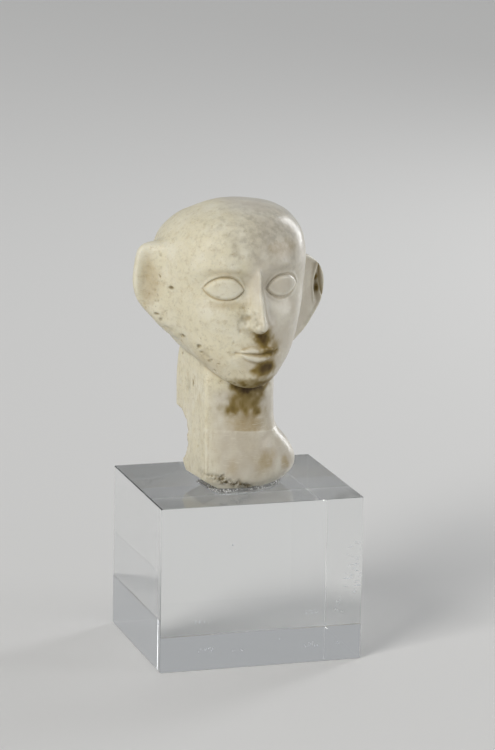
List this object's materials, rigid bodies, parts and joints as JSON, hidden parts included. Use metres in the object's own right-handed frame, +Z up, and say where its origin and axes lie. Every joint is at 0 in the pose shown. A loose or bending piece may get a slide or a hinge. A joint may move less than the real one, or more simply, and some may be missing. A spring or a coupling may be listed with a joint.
{
  "type": "carved head of an ancient figurine on a clear block",
  "caption": "Small carved stone head and neck, broken from a figurine, bonded upright to a clear display block.",
  "frame": {"origin": "centre of the clear block's underside", "axes": "+Z up along the tallest extent, -Y out of the block's front face, which the carved face looks over, +X to the right of someone facing it"},
  "size_m": [0.0412, 0.0344, 0.0874],
  "materials": {
    "carved_stone": "satin",
    "clear_acrylic": "polished",
    "adhesive": "gloss"
  },
  "bodies": {
    "root": {"carved_head": "carved_stone", "clear_block": "clear_acrylic", "adhesive_pad": "adhesive"}
  },
  "joints": []
}
